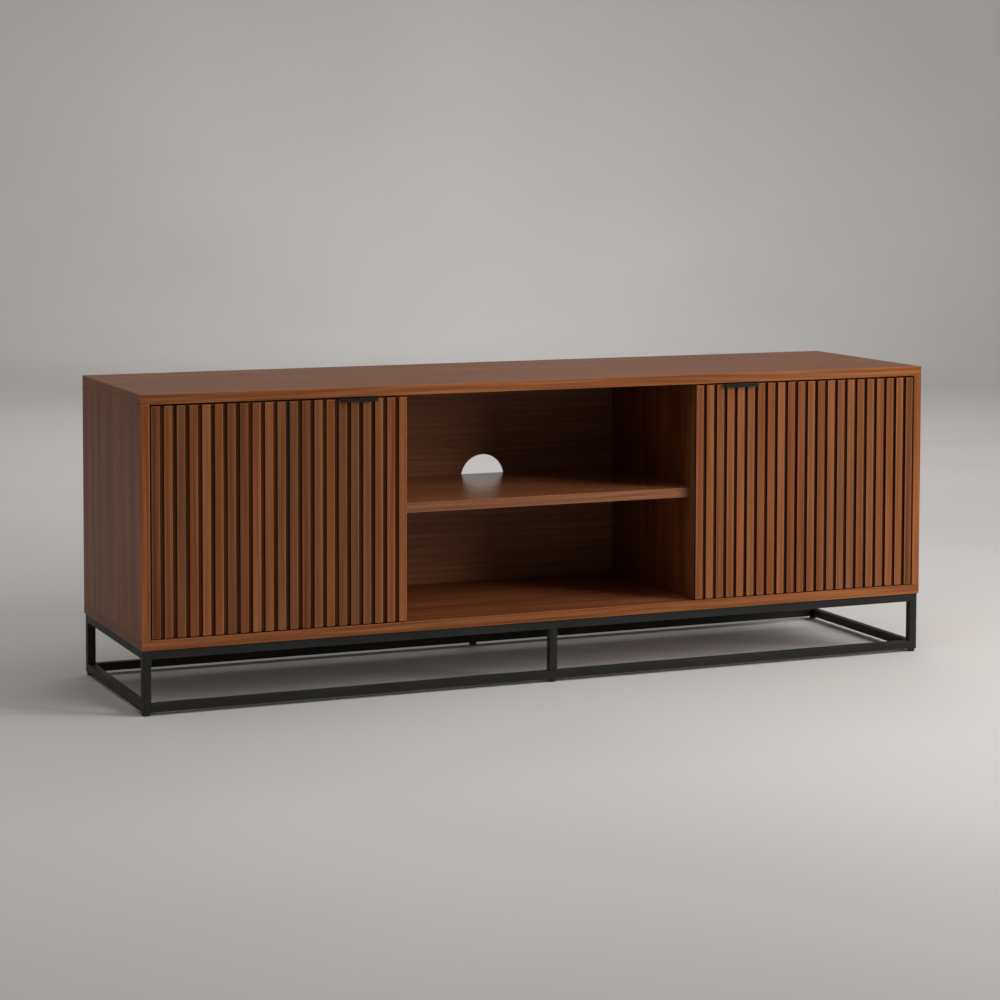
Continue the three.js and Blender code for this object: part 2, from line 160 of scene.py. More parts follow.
class Build:
    """A piece in the making: closed shells in one mesh, each with its own grain and tone."""

    def __init__(self):
        self.mesh = bmesh.new()
        self.layer = self.mesh.faces.layers.int.new("part")
        self.parts = [dict(along=X, shift=Vector(), tone=0.0, warmth=0.0, groove_shade=0.0)]

    def part(self, along, tone=0.0, warmth=0.0, groove_shade=0.0):
        """Starts a new part: its grain runs along this axis, cut from its own place in the log; its
        last tone is painted shade on its sideways faces.
        """
        shift = Vector([random.uniform(-reach, reach) for reach in LOG_REACH])
        self.parts.append(dict(along=along, shift=shift, tone=tone, warmth=warmth, groove_shade=groove_shade))
        return len(self.parts) - 1

    def box(self, low, high, radius, part=0, within=None, segments=3):
        """A box with its edges rounded, or only the edges on the outside of the box `within`."""
        verts = plain_box(self.mesh, low, high)
        for face in {f for v in verts for f in v.link_faces}:
            face[self.layer] = part
        edges = {e for v in verts for e in v.link_edges}
        if within:
            edges = {
                e for e in edges
                if on_two_faces((e.verts[0].co + e.verts[1].co) / 2, *within)
            }
        bmesh.ops.bevel(
            self.mesh, geom=sorted(edges, key=lambda e: e.index), offset=radius,
            segments=segments, profile=0.5, affect="EDGES", clamp_overlap=True,
        )

    def rings(self, rings, loop=False, caps=(True, True)):
        """Skins a row of rings of points: closed on itself, or with a cap at either end."""
        grid = [[self.mesh.verts.new(p) for p in ring] for ring in rings]
        pairs = list(zip(grid, grid[1:]))
        if loop:
            pairs.append((grid[-1], grid[0]))
        for a, b in pairs:
            for i in range(len(a)):
                j = (i + 1) % len(a)
                self.mesh.faces.new((a[i], a[j], b[j], b[i]))
        if caps[0] and not loop:
            self.mesh.faces.new(list(reversed(grid[0])))
        if caps[1] and not loop:
            self.mesh.faces.new(grid[-1])

    def turned(self, profile, place, segments=32, loop=False, caps=(True, True)):
        """A solid of revolution from (radius, height) pairs, put in place by a matrix."""
        turns = [2 * math.pi * k / segments for k in range(segments)]
        rings = [
            [place @ Vector((r * math.cos(t), r * math.sin(t), h)) for t in turns]
            for r, h in profile
        ]
        self.rings(rings, loop, caps)

    def copy_of(self, mesh, place):
        """Adds a copy of a finished mesh, put in place by a matrix."""
        before = set(self.mesh.verts)
        self.mesh.from_mesh(mesh)
        self.layer = self.mesh.faces.layers.int["part"]
        added = [v for v in self.mesh.verts if v not in before]
        bmesh.ops.transform(self.mesh, matrix=place, verts=added)

    def to_mesh(self, name):
        bmesh.ops.recalc_face_normals(self.mesh, faces=self.mesh.faces)
        mesh = bpy.data.meshes.new(name)
        self.mesh.to_mesh(mesh)
        self.mesh.free()
        return mesh


def show(name, mesh, material):
    """An object with this mesh in the scene, with this material if there is one."""
    piece = bpy.data.objects.new(name, mesh)
    bpy.context.scene.collection.objects.link(piece)
    if material:
        mesh.materials.append(material)
    return piece


def carve(mesh, cutters):
    """The mesh with each cutter mesh taken away."""
    piece = show("carving", mesh, None)
    tools = []
    for cutter in cutters:
        tool = show("cutter", cutter, None)
        cut = piece.modifiers.new("cut", "BOOLEAN")
        cut.object, cut.operation, cut.solver = tool, "DIFFERENCE", "EXACT"
        tools.append(tool)
    graph = bpy.context.evaluated_depsgraph_get()
    carved = bpy.data.meshes.new_from_object(piece.evaluated_get(graph))
    for used in [piece, *tools]:
        bpy.data.objects.remove(used)
    return carved


def round_cutter(centre, radius, axis, length, sides=24):
    """A cylinder about a point, along an axis."""
    build = Build()
    turn = Matrix.Identity(4)
    if axis != Z:
        turn = Matrix.Rotation(math.pi / 2, 4, "Y" if axis == X else "X")
    place = Matrix.Translation(centre) @ turn
    build.turned([(radius, -length / 2), (radius, length / 2)], place, sides)
    return build.to_mesh("cutter")


def box_cutter(low, high):
    """A box between two corners."""
    build = Build()
    plain_box(build.mesh, low, high)
    return build.to_mesh("cutter")


def lay_grain(mesh, parts):
    """Writes where each corner lies in the log, and each face's tone and how much it is an edge."""
    part_of = [item.value for item in mesh.attributes["part"].data]
    mesh.attributes.remove(mesh.attributes["part"])
    mesh.attributes.new("grain", "FLOAT_VECTOR", "CORNER")
    for name in ("tone", "warmth", "edge"):
        mesh.attributes.new(name, "FLOAT", "FACE")
    grain, tone, warmth, edge = (mesh.attributes[n] for n in ("grain", "tone", "warmth", "edge"))
    for face in mesh.polygons:
        part = parts[part_of[face.index]]
        facing = max(range(3), key=lambda i: abs(face.normal[i]))
        along = part["along"]
        if facing == along:
            along = max((i for i in range(3) if i != facing), key=lambda i: (i == Y, i))
        others = [i for i in range(3) if i != along]
        for corner in face.loop_indices:
            at = mesh.vertices[mesh.loops[corner].vertex_index].co
            where = Vector((at[along], at[others[0]], at[others[1]])) + part["shift"]
            grain.data[corner].vector = where
        # painted shade: a part's extra tone for the gaps goes only on faces that point sideways (the
        # slats' sides)
        painted_groove_shade = part["groove_shade"] if abs(face.normal.x) > FACES_SIDEWAYS else 0.0
        tone.data[face.index].value = part["tone"] + painted_groove_shade
        warmth.data[face.index].value = part["warmth"]
        edge.data[face.index].value = 1.0 if abs(face.normal[facing]) < FACES_SQUARE else 0.0


def finish_piece(name, build, material, body, slot, *nodes, cutters=()):
    """Turns a build into a piece that rides on a body and stands for its CAD nodes."""
    mesh = build.to_mesh(name)
    if cutters:
        mesh = carve(mesh, cutters)
        mesh.name = name
    lay_grain(mesh, build.parts)
    mesh.shade_smooth()
    mesh.set_sharp_from_angle(angle=SHARP_ABOVE)
    piece = show(name, mesh, material)
    even = piece.modifiers.new("even_normals", "WEIGHTED_NORMAL")
    even.keep_sharp = True
    even.weight = 100
    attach(piece, body)
    if nodes:
        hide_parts(*nodes)
    return piece


# ---------------------------------------------------------------- shader helpers
def shader(name):
    """A new node material, with its tree and its surface node."""
    material = bpy.data.materials.new(name)
    material.use_nodes = True
    tree = material.node_tree
    return material, tree, tree.nodes["Principled BSDF"]


def add(tree, kind, inputs=None, **settings):
    """A node with its settings; inputs are numbers, colours or sockets to link."""
    node = tree.nodes.new("ShaderNode" + kind)
    for key, value in settings.items():
        setattr(node, key, value)
    for key, value in (inputs or {}).items():
        if isinstance(value, bpy.types.NodeSocket):
            tree.links.new(value, node.inputs[key])
        else:
            node.inputs[key].default_value = value
    return node


def attribute(tree, name, output="Fac"):
    """What lay_grain wrote on the mesh under this name."""
    return add(tree, "Attribute", attribute_name=name).outputs[output]


def maths(tree, operation, a, b=0.0, clamp=False):
    node = add(tree, "Math", {0: a, 1: b}, operation=operation)
    node.use_clamp = clamp
    return node.outputs[0]


def noise(tree, where, stretch, scale, detail=3.0, roughness=0.55, output="Fac"):
    """Noise on coordinates that are stretched first: a small number makes long streaks."""
    mapped = add(tree, "Mapping", {"Vector": where, "Scale": stretch}).outputs[0]
    inputs = {"Vector": mapped, "Scale": scale, "Detail": detail, "Roughness": roughness}
    return add(tree, "TexNoise", inputs).outputs[output]


def ramp(tree, value, stops):
    """A colour ramp from (position, colour) pairs."""
    node = add(tree, "ValToRGB", {"Fac": value})
    colours = node.color_ramp.elements
    while len(colours) < len(stops):
        colours.new(0.5)
    for element, (position, colour) in zip(colours, stops):
        element.position = position
        element.color = (*colour, 1)
    return node.outputs["Color"]


def remap(tree, value, from_low, from_high, to_low, to_high):
    inputs = {
        "Value": value, "From Min": from_low, "From Max": from_high,
        "To Min": to_low, "To Max": to_high,
    }
    return add(tree, "MapRange", inputs).outputs["Result"]


def mix(tree, factor, a, b, blend="MIX"):
    """Two colours mixed by a factor."""
    node = add(tree, "Mix", {0: factor, 6: a, 7: b}, data_type="RGBA", blend_type=blend)
    return node.outputs[2]


def bump(tree, surface, height, strength, distance):
    inputs = {"Height": height, "Strength": strength, "Distance": distance}
    tree.links.new(add(tree, "Bump", inputs).outputs["Normal"], surface.inputs["Normal"])


# ---------------------------------------------------------------- materials
def growth_rings(tree, place, spacing, pith, wander):
    """Rings about the log's pith, which drift slowly along its length, from 0 to 1."""
    drift = noise(tree, place, (0.7, 2.2, 2.2), 1.7, 2.0, output="Color")
    drift = add(
        tree, "VectorMath", {0: drift, 1: (0, wander, wander), 2: place}, operation="MULTIPLY_ADD"
    ).outputs[0]
    fine = noise(tree, place, (0.05, 1, 1), 38, 2.0, output="Color")
    drift = add(
        tree, "VectorMath", {0: fine, 1: (0, 0.006, 0.006), 2: drift}, operation="MULTIPLY_ADD"
    ).outputs[0]
    across = add(
        tree, "VectorMath", {0: drift, 1: (0, 1, 1), 2: (0, 0, pith)}, operation="MULTIPLY_ADD"
    ).outputs[0]
    radius = add(tree, "VectorMath", {0: across}, operation="LENGTH").outputs["Value"]
    wave = maths(tree, "SINE", maths(tree, "MULTIPLY", radius, 2 * math.pi / spacing))
    return remap(tree, wave, -1, 1, 0, 1)


def wood_value(tree, layers, contrast):
    """How light the wood is, from 0 to 1: the layers about their middle, and the board's tone."""
    value = 0.5
    for layer, share in layers:
        centred = maths(tree, "SUBTRACT", layer, 0.5)
        value = maths(tree, "ADD", maths(tree, "MULTIPLY", centred, share * contrast), value)
    toned = maths(tree, "MULTIPLY", attribute(tree, "tone"), TONE_STEP)
    return maths(tree, "ADD", value, toned, clamp=True)


def redden(tree, place, colour):
    """Slow patches of redder wood, and a greyer cast where the piece's warmth is low."""
    redness = noise(tree, place, (0.35, 1, 1), 5.5, 2.0)
    redder = mix(tree, 0.5, colour, (1.0, 0.80, 0.70, 1), "MULTIPLY")
    colour = mix(tree, remap(tree, redness, 0.35, 0.68, 0, 0.75), colour, redder)
    greyer = mix(tree, 1.0, colour, (0.82, 0.98, 1.12, 1), "MULTIPLY")
    return mix(tree, remap(tree, attribute(tree, "warmth"), 0, -1, 0, 1), colour, greyer)


def walnut(name, dark, middle, light, rough, contrast=1.0, wander=0.05, sheen=0.2):
    """Open-pored walnut under a satin lacquer, streaked along the grain."""
    material, tree, surface = shader(name)
    place = attribute(tree, "grain", "Vector")
    rings = growth_rings(tree, place, RING_SPACING, PITH_DEPTH, wander)
    bands = noise(tree, place, (0.045, 1, 1), 42, 3.0)
    streaks = noise(tree, place, (0.014, 1, 1), 210, 3.0, 0.6)
    fibres = noise(tree, place, (0.010, 1, 1), 900, 2.0, 0.6)
    pores = noise(tree, place, (0.030, 1, 1), 1500, 1.0, 0.5)
    pores = remap(tree, pores, 0.60, 0.72, 0, 1)

    layers = ((rings, 0.12), (bands, 0.60), (streaks, 0.75), (fibres, 0.35))
    value = wood_value(tree, layers, contrast)
    colour = redden(tree, place, ramp(tree, value, [(0.10, dark), (0.50, middle), (0.90, light)]))
    colour = mix(tree, maths(tree, "MULTIPLY", pores, 0.22), colour, (*dark, 1))
    # painted highlight: the rounded edges are lightened, as where they catch the light
    lighter_edge = maths(tree, "MULTIPLY", attribute(tree, "edge"), remap(tree, bands, 0.3, 0.7, 0.3, 0.6))
    colour = mix(tree, lighter_edge, colour, (*[min(1, 1.3 * c) for c in light], 1))
    # painted shade: faces whose tone is far below zero (the slats' sides in the gaps) go almost black
    groove_shade = remap(tree, attribute(tree, "tone"), GROOVE_SHADE_TONE, GROOVE_SHADE_TONE / 2, 1, 0)
    colour = mix(tree, groove_shade, colour, (*[0.35 * c for c in dark], 1))
    tree.links.new(colour, surface.inputs["Base Color"])

    surface.inputs["Specular IOR Level"].default_value = sheen
    smooth = remap(tree, streaks, 0.3, 0.7, rough - 0.04, rough + 0.05)
    roughness = maths(tree, "ADD", smooth, maths(tree, "MULTIPLY", pores, 0.10))
    tree.links.new(roughness, surface.inputs["Roughness"])
    height = maths(tree, "SUBTRACT", maths(tree, "MULTIPLY", fibres, 0.5), pores)
    bump(tree, surface, height, 0.08, 0.15 * MM)
    return material


def powder_coat(name, colour, rough, grit):
    """Black powder coat: a fine orange peel, faint dust and slightly polished edges."""
    material, tree, surface = shader(name)
    place = add(tree, "TexCoord").outputs["Object"]
    cloud = noise(tree, place, (1, 1, 1), 9, 3.0)
    speck = noise(tree, place, (1, 1, 1), grit, 2.0)
    base = ramp(tree, cloud, [(0.30, [0.82 * c for c in colour]), (0.72, [1.2 * c for c in colour])])
    surface.inputs["Specular IOR Level"].default_value = POWDER_SHEEN
    base = mix(tree, remap(tree, speck, 0.55, 0.75, 0, 0.35), base, (*[2.1 * c for c in colour], 1))
    lighter_edge = maths(tree, "MULTIPLY", attribute(tree, "edge"), remap(tree, cloud, 0.35, 0.7, 0.1, 0.5))
    base = mix(tree, lighter_edge, base, (*[2.6 * c for c in colour], 1))
    tree.links.new(base, surface.inputs["Base Color"])
    roughness = remap(tree, cloud, 0.3, 0.7, rough - 0.05, rough + 0.06)
    tree.links.new(roughness, surface.inputs["Roughness"])
    bump(tree, surface, speck, 0.18, 0.12 * MM)
    return material


def bare_metal(name, colour, rough):
    """Plated steel with a faint bloom and fine scratches."""
    material, tree, surface = shader(name)
    surface.inputs["Metallic"].default_value = 1.0
    place = add(tree, "TexCoord").outputs["Object"]
    bloom = noise(tree, place, (1, 1, 1), 160, 3.0)
    scratch = noise(tree, place, (1, 14, 1), 420, 2.0)
    base = ramp(tree, bloom, [(0.30, [0.80 * c for c in colour]), (0.72, colour)])
    lighter_edge = maths(tree, "MULTIPLY", attribute(tree, "edge"), 0.4)
    base = mix(tree, lighter_edge, base, (*[min(1, 1.25 * c) for c in colour], 1))
    tree.links.new(base, surface.inputs["Base Color"])
    roughness = remap(tree, bloom, 0.3, 0.7, rough - 0.06, rough + 0.10)
    tree.links.new(roughness, surface.inputs["Roughness"])
    bump(tree, surface, scratch, 0.10, 0.05 * MM)
    return material


def moulded(name, colour, rough):
    """Injection-moulded plastic with a fine matt texture."""
    material, tree, surface = shader(name)
    place = add(tree, "TexCoord").outputs["Object"]
    cloud = noise(tree, place, (1, 1, 1), 55, 2.0)
    texture = noise(tree, place, (1, 1, 1), 1900, 1.0)
    base = ramp(tree, cloud, [(0.30, [0.88 * c for c in colour]), (0.70, [1.08 * c for c in colour])])
    lighter_edge = maths(tree, "MULTIPLY", attribute(tree, "edge"), 0.3)
    base = mix(tree, lighter_edge, base, (*[1.5 * c for c in colour], 1))
    tree.links.new(base, surface.inputs["Base Color"])
    roughness = remap(tree, texture, 0.3, 0.7, rough - 0.05, rough + 0.08)
    tree.links.new(roughness, surface.inputs["Roughness"])
    bump(tree, surface, texture, 0.12, 0.06 * MM)
    return material


TONES = ((0.066, 0.020, 0.006), (0.186, 0.061, 0.019), (0.330, 0.128, 0.048))
SLAT_TONES = ((0.080, 0.025, 0.008), (0.186, 0.061, 0.020), (0.310, 0.122, 0.049))
BACK_TONES = ((0.090, 0.036, 0.017), (0.182, 0.076, 0.038), (0.300, 0.136, 0.074))
WALNUT = walnut("walnut", *TONES, 0.36, 1.15, sheen=0.12)
WALNUT_GLOSSY = walnut("walnut_glossy", *TONES, 0.20, sheen=0.6)
WALNUT_SLAT = walnut("walnut_slat", *SLAT_TONES, 0.42, 0.9, 0.02, 0.15)
WALNUT_BACK = walnut("walnut_back", *BACK_TONES, 0.46, 0.8)
BLACK_STEEL = powder_coat("black_powder_coat", (0.013, 0.013, 0.012), 0.50, 900)
BLACK_HANDLE = powder_coat("black_handle_coat", (0.009, 0.009, 0.009), 0.42, 1500)
PLAIN_STEEL = bare_metal("zinc_plated_steel", (0.62, 0.63, 0.65), 0.32)
BLACK_PLASTIC = moulded("black_plastic", (0.016, 0.016, 0.016), 0.50)
DARK_STEEL = bare_metal("black_oxide_steel", (0.055, 0.055, 0.056), 0.45)
NYLON = moulded("black_nylon", (0.020, 0.020, 0.020), 0.45)


# ---------------------------------------------------------------- boards
def board(node, name, along, bands, cutters=(), tone=0.0, band_tone=PALE_BAND, material=WALNUT):
    """A veneered board with a thin band on some of its edges, given as (axis, end) pairs."""
    low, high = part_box(node)
    outer = (low.copy(), high.copy())
    core = [low.copy(), high.copy()]
    build = Build()
    for axis, end in bands:
        strip = [core[0].copy(), core[1].copy()]
        inner = core[end][axis] + (BAND if end == 0 else -BAND)
        strip[1 - end][axis] = inner
        core[end][axis] = inner
        face_along = max((i for i in range(3) if i != axis), key=lambda i: strip[1][i] - strip[0][i])
        build.box(*strip, BOARD_ROUND, build.part(face_along, band_tone), outer)
    build.box(*core, BOARD_ROUND, build.part(along, tone), outer)
    finish_piece(name, build, material, "cabinet", "walnut_board", node, cutters=cutters)


def bush_seats(face):
    """Cutters for the blind seats of the two pivot bushes, about the level of a board's face."""
    seats = []
    for side, _ in HANDS:
        low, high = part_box(f"pivot_bush_{side}_bottom")
        centre = Vector(((low.x + high.x) / 2, (low.y + high.y) / 2, face))
        seats.append(round_cutter(centre, SEAT_R, Z, 2 * SEAT_DEPTH))
    return seats


def pin_holes(side, spot, face):
    """Cutters for three rows of shelf-pin holes about the plane x = face."""
    holes = []
    for row in ROWS:
        low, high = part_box(f"shelf_pin_{side}_{spot}_{row}")
        for step in (-1, 0, 1):
            centre = (face, (low.y + high.y) / 2, (low.z + high.z) / 2 + step * PIN_STEP)
            holes.append(round_cutter(centre, PIN_HOLE_R, X, 2 * PIN_HOLE_DEPTH, 16))
    return holes


def make_boards():
    """Top, bottom, sides, partitions and shelves, with their seats and pin holes."""
    top_low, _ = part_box("top_panel")
    _, bottom_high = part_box("bottom_panel")
    ends = [(Y, 0), (X, 0), (X, 1)]
    board("top_panel", "top_board", X, ends, bush_seats(top_low.z))
    board("bottom_panel", "bottom_board", X, ends, bush_seats(bottom_high.z))
    for side, hand in HANDS:
        low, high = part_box(f"side_panel_{side}")
        inner = low.x if hand > 0 else high.x
        holes = pin_holes(side, "outer", inner)
        board(f"side_panel_{side}", f"side_board_{side}", Z, [(Y, 0)], holes, tone=0.5)
        low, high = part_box(f"partition_{side}")
        outer = high.x if hand > 0 else low.x
        holes = pin_holes(side, "inner", outer)
        board(f"partition_{side}", f"divider_{side}", Z, [(Y, 0)], holes, tone=-0.6)
        board(f"shelf_{side}", f"shelf_board_{side}", X, [(Y, 0)])
    # painted light: the centre shelf is lightened, as light reaching into the open bay
    board("shelf_center", "shelf_board_center", X, [(Y, 0)],
          tone=1.7, band_tone=0.0, material=WALNUT_GLOSSY)


def make_back():
    """The back board with its round cable hole, centred on the shelf's mid-height."""
    low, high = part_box("back_panel")
    shelf_low, shelf_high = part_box("shelf_center")
    hole = Vector((CABLE_HOLE_X, (low.y + high.y) / 2, (shelf_low.z + shelf_high.z) / 2))
    cutter = round_cutter(hole, CABLE_HOLE_R, Y, 4 * (high.y - low.y), 72)
    build = Build()
    build.box(low, high, BACK_ROUND, build.part(X))
    finish_piece("back_board", build, WALNUT_BACK, "cabinet", "walnut_back", "back_panel",
                 cutters=[cutter])


# ---------------------------------------------------------------- doors
def make_slats(side):
    """Rounded slats, each of its own tone, on a thin backing sheet; the slat next to the side board,
    the slats' sides and the backing are darkened as painted shade.
    """
    low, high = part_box(f"door_slats_{side}")
    count = SLATS[side]
    pitch = (high.x - low.x - SLAT_WIDTH) / (count - 1)
    build = Build()
    sheet_low = Vector((low.x, low.y + SLAT_PROUD, low.z))
    # painted shade: the backing sheet is darkened, as shade between the slats
    build.box(sheet_low, high, BACKING_ROUND, build.part(Z, BACKING_SHADE_TONE), segments=1)
    outermost = 0 if side == "left" else count - 1
    for k in range(count):
        x = low.x + k * pitch
        foot = Vector((x, low.y, low.z))
        head = Vector((x + SLAT_WIDTH, low.y + SLAT_PROUD + SLAT_SUNK, high.z))
        tone = OUTERMOST_SHADE_TONE if k == outermost else random.uniform(-SLAT_TONE_SPREAD, SLAT_TONE_SPREAD)
        strip = build.part(Z, tone, random.uniform(-1, 1), GROOVE_SHADE_TONE)
        build.box(foot, head, SLAT_ROUND, strip)
    finish_piece(f"slat_facing_{side}", build, WALNUT_SLAT, f"{side}_door", "walnut_slats",
                 f"door_slats_{side}")


def make_door_board(side):
    """The board behind the slats, with a pocket for each pivot plate."""
    low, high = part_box(f"door_board_{side}")
    grow = Vector((POCKET_GAP,) * 3)
    depth = PLATE_THICK + POCKET_GAP
    spans = {"top": (high.z - depth, high.z + MM), "bottom": (low.z - MM, low.z + depth)}
    pockets = []
    for level, (bottom, top) in spans.items():
        plate_low, plate_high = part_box(f"pivot_plate_{side}_{level}")
        start, end = plate_low - grow, plate_high + grow
        start.z, end.z = bottom, top
        pockets.append(box_cutter(start, end))
    build = Build()
    build.box(low, high, BOARD_ROUND, build.part(Z))
    finish_piece(f"door_core_{side}", build, WALNUT_BACK, f"{side}_door", "walnut_back",
                 f"door_board_{side}", cutters=pockets)


def arc(centre, radius, start, end, steps=6):
    """Points (y, z) on an arc, with angles in degrees from +Y towards +Z."""
    turns = [math.radians(start + (end - start) * k / steps) for k in range(steps + 1)]
    return [(centre[0] + radius * math.cos(t), centre[1] + radius * math.sin(t)) for t in turns]


def flat_bar(half_width, half_thick, round_by, steps=4):
    """The outline of a flat bar's section as (across, outwards) pairs, with round edges."""
    points = []
    for sx, sz, start in ((1, 1, 0), (-1, 1, 90), (-1, -1, 180), (1, -1, 270)):
        cx, cz = sx * (half_width - round_by), sz * (half_thick - round_by)
        for k in range(steps + 1):
            t = math.radians(start + 90 * k / steps)
            points.append((cx + round_by * math.cos(t), cz + round_by * math.sin(t)))
    return points


def pull_line(low, high, lip_end):
    """The middle of the folded sheet as (y, z) points: up the lip, over the door, down behind it."""
    front, rear = low.y + SHEET / 2, high.y - SHEET / 2
    crown = high.z - SHEET / 2
    line = [(front, lip_end), (front, crown - BEND)]
    line += arc((front + BEND, crown - BEND), BEND, 180, 90)
    line += arc((rear - BEND, crown - BEND), BEND, 90, 0)
    return [Vector(point) for point in (*line, (rear, low.z))]


def sheet_ring(section, middle, at, run, share=1.0):
    """The sheet's section laid square across its run, its thickness scaled by a share."""
    return [(middle + a, at.x - b * share * run.y, at.y + b * share * run.x) for a, b in section]


def make_handle(side):
    """Sheet steel folded over the door's top edge: a lip in front, a flange behind."""
    low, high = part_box(f"handle_{side}")
    _, slat_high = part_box(f"door_slats_{side}")
    line = pull_line(low, high, slat_high.z - LIP_BELOW_DOOR_TOP)
    middle = (low.x + high.x) / 2
    section = flat_bar((high.x - low.x) / 2, SHEET / 2, SHEET_ROUND)
    last = len(line) - 1
    rings = []
    for k, at in enumerate(line):
        run = (line[min(k + 1, last)] - line[max(k - 1, 0)]).normalized()
        share = SHEET_END_SHARE if k in (0, last) else 1.0
        rings.append(sheet_ring(section, middle, at, run, share))
        if k == 0:
            run = (line[1] - at).normalized()
            rings.append(sheet_ring(section, middle, at + run * SHEET_END, run))
        if k == last - 1:
            run = (line[last] - at).normalized()
            rings.append(sheet_ring(section, middle, line[last] - run * SHEET_END, run))
    build = Build()
    build.rings(rings)
    finish_piece(f"edge_pull_{side}", build, BLACK_HANDLE, f"{side}_door", "black_handle",
                 f"handle_{side}")


def make_pivot(side, level, up):
    """A round-edged plate with the pin that the door turns on."""
    low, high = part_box(f"pivot_plate_{side}_{level}")
    bush_low, bush_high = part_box(f"pivot_bush_{side}_{level}")
    base = [low.copy(), high.copy()]
    if up > 0:
        base[1].z = low.z + PLATE_THICK
    else:
        base[0].z = high.z - PLATE_THICK
    build = Build()
    build.box(*base, PLATE_ROUND)
    edge, tip = (base[1].z, high.z) if up > 0 else (base[0].z, low.z)
    reach = abs(tip - edge)
    pin_y = (bush_low.y + bush_high.y) / 2
    pin = Vector(((low.x + high.x) / 2, pin_y, edge - up * PIVOT_SUNK))
    profile = [
        (PIVOT_R, 0), (PIVOT_R, reach - PIVOT_NOSE),
        (PIVOT_R - PIVOT_NOSE, reach + PIVOT_SUNK),
    ]
    build.turned(profile, Matrix.Translation(pin) @ Matrix.Diagonal((1, 1, up, 1)))
    finish_piece(f"pivot_{side}_{level}", build, DARK_STEEL, f"{side}_door", "dark_steel",
                 f"pivot_plate_{side}_{level}")


def make_bush(side, level, up):
    """The flanged bush that a pivot pin turns in."""
    low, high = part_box(f"pivot_bush_{side}_{level}")
    flange_r, tall, lip = (high.x - low.x) / 2, high.z - low.z, BUSH_LIP
    base = Vector(((low.x + high.x) / 2, (low.y + high.y) / 2, low.z if up > 0 else high.z))
    profile = [
        (BUSH_BORE_R + lip, 0), (flange_r - lip, 0), (flange_r, lip), (flange_r, BUSH_FLANGE),
        (BUSH_BODY_R, BUSH_FLANGE), (BUSH_BODY_R, tall - lip), (BUSH_BODY_R - lip, tall),
        (BUSH_BORE_R + lip, tall), (BUSH_BORE_R, tall - lip), (BUSH_BORE_R, lip),
    ]
    build = Build()
    build.turned(profile, Matrix.Translation(base) @ Matrix.Diagonal((1, 1, up, 1)), loop=True)
    finish_piece(f"bush_{side}_{level}", build, NYLON, "cabinet", "nylon",
                 f"pivot_bush_{side}_{level}")


def make_catch(side):
    """A magnetic catch under the top board, and the strike plate it holds."""
    low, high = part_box(f"magnet_catch_{side}")
    build = Build()
    build.box(low, high, CATCH_ROUND)
    finish_piece(f"catch_{side}", build, BLACK_PLASTIC, "cabinet", "black_plastic",
                 f"magnet_catch_{side}")
    low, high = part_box(f"strike_plate_{side}")
    build = Build()
    build.box(low, high, STRIKE_ROUND)
    finish_piece(f"strike_{side}", build, PLAIN_STEEL, f"{side}_door", "plain_steel",
                 f"strike_plate_{side}")


# ---------------------------------------------------------------- base and small parts
def screw_head(radius, tall):
    """A low domed head with a cross recess, its flat side on z = 0."""
    build = Build()
    build.turned([
        (radius * 0.96, 0), (radius, tall * 0.25), (radius * 0.82, tall * 0.70),
        (radius * 0.45, tall * 0.93), (radius * 0.03, tall),
    ], Matrix.Identity(4), 24)
    arm, width, floor = radius * 0.56, radius * 0.16, tall * 0.40
    bars = [
        box_cutter((-arm, -width, floor), (arm, width, tall + MM)),
        box_cutter((-width, -arm, floor), (width, arm, tall + MM)),
    ]
    return carve(build.to_mesh("screw"), bars)


def make_screws(name, body, spots, head_size):
    """Screws driven from the back: their heads stand on the given points and face +Y."""
    head = screw_head(*head_size)
    build = Build()
    for spot in spots:
        driven = Matrix.Rotation(random.uniform(0, 1.5), 4, "Z")
        turn = Matrix.Rotation(-math.pi / 2, 4, "X") @ driven
        build.copy_of(head, Matrix.Translation(spot) @ turn)
    finish_piece(name, build, PLAIN_STEEL, body, "plain_steel")


def make_back_screws():
    """Screws through the back board into the partitions and the centre shelf."""
    low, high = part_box("back_panel")
    shelf_low, shelf_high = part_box("shelf_center")
    spots = []
    for side, _ in HANDS:
        divider_low, divider_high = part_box(f"partition_{side}")
        x = (divider_low.x + divider_high.x) / 2
        for k in range(BACK_SCREW_ROWS):
            share = (k + 0.5) / BACK_SCREW_ROWS
            spots.append((x, high.y, low.z + share * (high.z - low.z)))
    for share in SHELF_SCREWS:
        x = shelf_low.x + share * (shelf_high.x - shelf_low.x)
        spots.append((x, high.y, (shelf_low.z + shelf_high.z) / 2))
    make_screws("back_board_screws", "cabinet", spots, BACK_SCREW_HEAD)


def make_pull_screws():
    """Two screws through the flange of each edge pull."""
    for side, _ in HANDS:
        low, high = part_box(f"handle_{side}")
        middle = (low.x + high.x) / 2
        z = low.z + PULL_SCREW_UP
        spots = [(middle + a, high.y, z) for a in (-PULL_SCREW_APART / 2, PULL_SCREW_APART / 2)]
        make_screws(f"pull_screws_{side}", f"{side}_door", spots, PULL_SCREW_HEAD)


def rounded_square(half, radius):
    """The outline of a square with round corners."""
    return flat_bar(half, half, radius)


